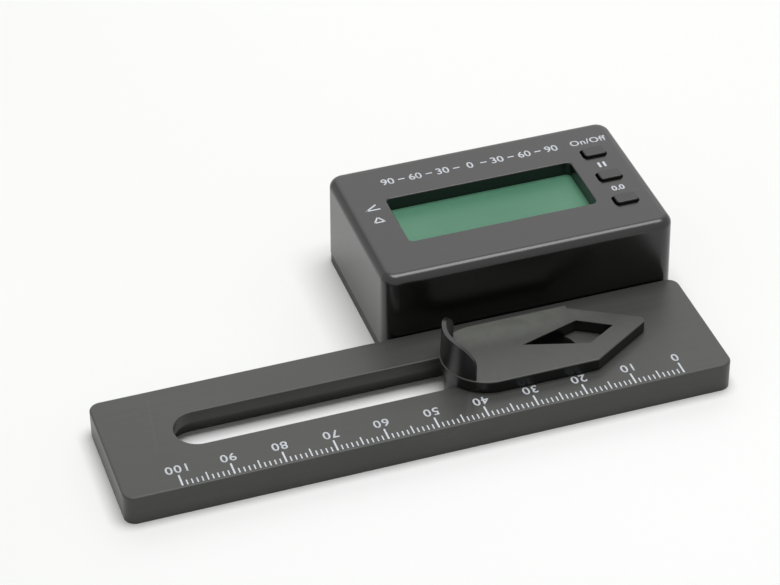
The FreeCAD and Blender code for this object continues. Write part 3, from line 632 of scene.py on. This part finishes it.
def add_bar(shape, centre, length, width, turn=0.0):
    """A bar of ink, length along X before it is turned, with slightly rounded corners."""
    made = bmesh.ops.create_grid(shape, x_segments=1, y_segments=1, size=0.5)
    verts = made["verts"]
    bmesh.ops.scale(shape, vec=(length, width, 1), verts=verts)
    corner = min(length, width) * BAR_CORNER_SHARE
    cut = bmesh.ops.bevel(shape, geom=verts, offset=corner, offset_type="OFFSET", segments=2, profile=0.5,
                          affect="VERTICES", material=-1)
    faces = [f for f in shape.faces if f.select or f in cut["faces"] or set(f.verts) & set(cut["verts"])]
    verts = list({v for f in faces for v in f.verts})
    bmesh.ops.rotate(shape, verts=verts, cent=(0, 0, 0), matrix=Matrix.Rotation(turn, 3, "Z"))
    bmesh.ops.translate(shape, verts=verts, vec=centre)
    raise_ink(shape, faces)


def add_text(shape, words, centre, height, turn=0.0, weight=0.0, spacing=1.0):
    """Words in ink, centred at a point and scaled to a height, from their lowest to highest point."""
    curve = bpy.data.curves.new("words", "FONT")
    curve.body = words
    curve.align_x = "CENTER"
    curve.offset = weight
    curve.space_character = spacing
    curve.resolution_u = 6
    carrier = bpy.data.objects.new("words", curve)
    bpy.context.scene.collection.objects.link(carrier)
    bpy.context.view_layer.update()
    flat = bpy.data.meshes.new_from_object(carrier.evaluated_get(bpy.context.evaluated_depsgraph_get()))
    bpy.data.objects.remove(carrier)
    bpy.data.curves.remove(curve)
    xs = [v.co.x for v in flat.vertices]
    ys = [v.co.y for v in flat.vertices]
    size = height / (max(ys) - min(ys))
    middle = Vector(((max(xs) + min(xs)) / 2, (max(ys) + min(ys)) / 2, 0))
    place = (Matrix.Translation(centre) @ Matrix.Rotation(turn, 4, "Z")
             @ Matrix.Diagonal((size, size, 1, 1)) @ Matrix.Translation(-middle))
    flat.transform(place)
    before = set(shape.faces)
    shape.from_mesh(flat)
    bpy.data.meshes.remove(flat)
    faces = [f for f in shape.faces if f not in before]
    for face in faces:
        if face.normal.z < 0:
            face.normal_flip()
    raise_ink(shape, faces)


print("ink thickness", INK_THICKNESS)

# %% [markdown]
# The millimetre scale.
#
# The scale is what the ruler is for: one tick for each millimetre, a longer one at each five and
# the longest at each ten. It counts from right to left, and its numbers stand upright for a reader
# on the far side of the ruler. A loop over the millimetres makes it exactly regular. The numbers
# are made only a little bolder than the font, because at some weights its 9 loses its tail.

# %% Print the scale
SCALE_END = 100
TICK_BASE = 0.65 * MM
TICK_TOPS = {1: 2.0 * MM, 5: 2.9 * MM, 10: 3.7 * MM}
TICK_WIDTHS = {1: 0.26 * MM, 5: 0.28 * MM, 10: 0.36 * MM}
NUMBER_HEIGHT = 2.2 * MM
NUMBER_MIDDLE = 5.4 * MM
NUMBER_WEIGHT = 0.015
NUMBER_SPACING = 1.12
ink_on_ruler = ruler_face - INK_SINK

ticks = bmesh.new()
for millimetre in range(SCALE_END + 1):
    rank = 10 if millimetre % 10 == 0 else 5 if millimetre % 5 == 0 else 1
    long_way = TICK_TOPS[rank] - TICK_BASE
    middle = Vector((zero_x - millimetre * MM, front_y + TICK_BASE + long_way / 2, ink_on_ruler))
    add_bar(ticks, middle, TICK_WIDTHS[rank], long_way)
scale_ticks = new_piece("scale_ticks", ticks, white_ink)

numbers = bmesh.new()
for centimetre in range(SCALE_END // 10 + 1):
    spot = Vector((zero_x - centimetre * 10 * MM, front_y + NUMBER_MIDDLE, ink_on_ruler))
    add_text(numbers, str(10 * centimetre), spot, NUMBER_HEIGHT, turn=math.pi,
             weight=NUMBER_WEIGHT, spacing=NUMBER_SPACING)
scale_numbers = new_piece("scale_numbers", numbers, white_ink)
print("ticks", SCALE_END + 1, "faces", len(scale_ticks.data.polygons), "number faces",
      len(scale_numbers.data.polygons))

# %% [markdown]
# Marks on the box.
#
# The keys need marks that say what they do, and plain ones are enough: on and off, two bars for
# holding the reading, and a zero. Beside the display stand an angle sign and a small triangle. Along
# the top runs a degree scale in plain numbers.

# %% Print the key signs
ink_on_box = housing_face - INK_SINK
KEY_TO_SIGN = 1.85 * MM
SIGN_HEIGHT = 1.7 * MM
ON_OFF_HEIGHT = 1.87 * MM
ON_OFF_SHIFT = Vector((0.4, 0.2, 0)) * MM
ON_OFF_WEIGHT = 0.02
ON_OFF_SPACING = 1.06
HOLD_BAR_SHIFT = Vector((0.55, 0, 0)) * MM
HOLD_BAR_WIDTH = 0.5 * MM
ZERO_WEIGHT = 0.03


def above_key(name):
    """The middle of the sign that belongs to a key, just behind it."""
    low, high = key_boxes[name]
    return Vector(((low.x + high.x) / 2, high.y + KEY_TO_SIGN, ink_on_box))


signs = bmesh.new()
add_text(signs, "On/Off", above_key("power") + ON_OFF_SHIFT, ON_OFF_HEIGHT,
         weight=ON_OFF_WEIGHT, spacing=ON_OFF_SPACING)
for side in (-1, 1):
    add_bar(signs, above_key("hold") + side * HOLD_BAR_SHIFT, HOLD_BAR_WIDTH, SIGN_HEIGHT)
add_text(signs, "0.0", above_key("zero"), SIGN_HEIGHT, weight=ZERO_WEIGHT)
key_signs = new_piece("key_signs", signs, white_ink)
print("key signs", len(key_signs.data.polygons))

# %% Print the degree scale along the top
DEGREES = (90, 60, 30, 0, 30, 60, 90)
DEGREE_LINE_LEFT = box_middle.x - 19.4 * MM
DEGREE_LINE_RIGHT = box_middle.x + 16.0 * MM
DEGREE_LINE_Y = box_middle.y + 12.425 * MM
DEGREE_HEIGHT = 2.1 * MM
DASH_LENGTH = 1.4 * MM
DASH_WIDTH = 0.3 * MM

degree_shape = bmesh.new()
step = (DEGREE_LINE_RIGHT - DEGREE_LINE_LEFT) / (len(DEGREES) - 1)
for i, degree in enumerate(DEGREES):
    spot = Vector((DEGREE_LINE_LEFT + i * step, DEGREE_LINE_Y, ink_on_box))
    add_text(degree_shape, str(degree), spot, DEGREE_HEIGHT, weight=NUMBER_WEIGHT)
    if i + 1 < len(DEGREES):
        add_bar(degree_shape, spot + Vector((step / 2, 0, 0)), DASH_LENGTH, DASH_WIDTH)
degree_scale = new_piece("degree_scale", degree_shape, white_ink)
print("degree scale", len(degree_scale.data.polygons))

# %% Print the two signs beside the display
SIDE_SIGN_X = box_middle.x - 25.2 * MM
ANGLE_SIGN_Y = box_middle.y + 4.725 * MM
TRIANGLE_SIGN_Y = box_middle.y + 0.525 * MM
STROKE = 0.34 * MM
ANGLE_BASE_LENGTH = 3.0 * MM
ANGLE_BASE_SHIFT = Vector((0, -0.7, 0)) * MM
ANGLE_ARM_LENGTH = 2.9 * MM
ANGLE_ARM_SHIFT = Vector((-0.2, 0.1, 0)) * MM
ANGLE_ARM_TURN = math.radians(35)
TRIANGLE_BASE_LENGTH = 2.3 * MM
TRIANGLE_BASE_SHIFT = Vector((0, -0.8, 0)) * MM
TRIANGLE_SIDE_LENGTH = 2.1 * MM
TRIANGLE_SIDE_OUT = 0.53 * MM
TRIANGLE_SIDE_UP = 0.06 * MM
TRIANGLE_SIDE_TURN = math.radians(58)

side_shape = bmesh.new()
angle_spot = Vector((SIDE_SIGN_X, ANGLE_SIGN_Y, ink_on_box))
add_bar(side_shape, angle_spot + ANGLE_BASE_SHIFT, ANGLE_BASE_LENGTH, STROKE)
add_bar(side_shape, angle_spot + ANGLE_ARM_SHIFT, ANGLE_ARM_LENGTH, STROKE, turn=ANGLE_ARM_TURN)
triangle_spot = Vector((SIDE_SIGN_X, TRIANGLE_SIGN_Y, ink_on_box))
add_bar(side_shape, triangle_spot + TRIANGLE_BASE_SHIFT, TRIANGLE_BASE_LENGTH, STROKE)
for side in (-1, 1):
    leaning = triangle_spot + Vector((side * TRIANGLE_SIDE_OUT, TRIANGLE_SIDE_UP, 0))
    add_bar(side_shape, leaning, TRIANGLE_SIDE_LENGTH, STROKE, turn=-side * TRIANGLE_SIDE_TURN)
side_signs = new_piece("side_signs", side_shape, white_ink)
print("side signs", len(side_signs.data.polygons))

# %% [markdown]
# The floor.
#
# The gauge was photographed on seamless white. A large plane is enough, because the camera looks
# down and never sees its end. Its colour is a little under white, so that the shadows around the
# gauge still show.

# %% Lay the floor
FLOOR_SIZE = 6.0
FLOOR_DARKER = rgb(247, 248, 246)
FLOOR_PALER = rgb(250, 251, 250)
floor_shape = bmesh.new()
bmesh.ops.create_grid(floor_shape, x_segments=4, y_segments=4, size=FLOOR_SIZE / 2)
floor_mesh = bpy.data.meshes.new("floor")
floor_shape.to_mesh(floor_mesh)
floor_shape.free()
floor = bpy.data.objects.new("floor", floor_mesh)
bpy.context.scene.collection.objects.link(floor)
floor_material, floor_tree, floor_shader = new_material("white floor")
paper = noise(floor_tree, object_point(floor_tree), 3.0, 2.0)
floor_tree.links.new(mix_colour(floor_tree, ramp(floor_tree, paper, 0.3, 0.7), FLOOR_DARKER, FLOOR_PALER),
                     floor_shader.inputs["Base Color"])
floor_shader.inputs["Roughness"].default_value = 0.9
floor_shader.inputs["Specular IOR Level"].default_value = 0.1
floor_mesh.materials.append(floor_material)
print("floor", FLOOR_SIZE)

# %% [markdown]
# The light.
#
# The black plastic tells where the light was. A bright line runs along the whole front upper edge
# of the box, so a soft source hangs above it and reaches to the right. The flat tops are pale grey,
# so there was something bright behind the gauge, low enough for them to mirror. The short shadows
# say that the rest of the room was pale too. A white world fills in for it, weaker for diffuse
# light than for what is seen in reflections.

# %% Set the lights
WORLD_FILL = 0.26
OVERHEAD_PLACE = (0.12, 0.05, 1.05)
OVERHEAD_WIDTH = 0.76
OVERHEAD_DEPTH = 0.60
OVERHEAD_WATTS = 8.9
REAR_PLACE = (0.42, 1.25, 1.0)
REAR_WIDTH = 1.7
REAR_DEPTH = 1.0
REAR_WATTS = 4.0

world = bpy.data.worlds.new("studio")
bpy.context.scene.world = world
world.use_nodes = True
sky = world.node_tree
background = sky.nodes["Background"]
background.inputs["Color"].default_value = (1.0, 1.0, 1.0, 1.0)
path = sky.nodes.new("ShaderNodeLightPath")
seen = math_node(sky, "MAXIMUM", path.outputs["Is Camera Ray"], path.outputs["Is Glossy Ray"])
seen = math_node(sky, "MAXIMUM", seen, path.outputs["Is Transmission Ray"])
sky.links.new(ramp(sky, seen, 0.0, 1.0, out_low=WORLD_FILL), background.inputs["Strength"])


def hang_soft_box(name, place, width, depth, power):
    """A rectangular lamp turned to face the gauge, its width across the view; gives its brightness."""
    lamp = bpy.data.lights.new(name, "AREA")
    lamp.shape = "RECTANGLE"
    lamp.size = width
    lamp.size_y = depth
    lamp.energy = power
    carrier = bpy.data.objects.new(name, lamp)
    away = Vector(place).normalized()
    across = Vector((0.0, 1.0, 0.0)).cross(away).normalized()
    turn = Matrix((across, away.cross(across), away)).transposed()
    carrier.matrix_world = Matrix.Translation(place) @ turn.to_4x4()
    bpy.context.scene.collection.objects.link(carrier)
    return power / (math.pi * width * depth)


overhead = hang_soft_box("overhead soft box", OVERHEAD_PLACE, OVERHEAD_WIDTH, OVERHEAD_DEPTH,
                         OVERHEAD_WATTS)
rear = hang_soft_box("rear window", REAR_PLACE, REAR_WIDTH, REAR_DEPTH, REAR_WATTS)
bpy.context.scene.view_settings.view_transform = "Standard"
print("brightness overhead", round(overhead, 1), "rear", round(rear, 1), "world", WORLD_FILL)
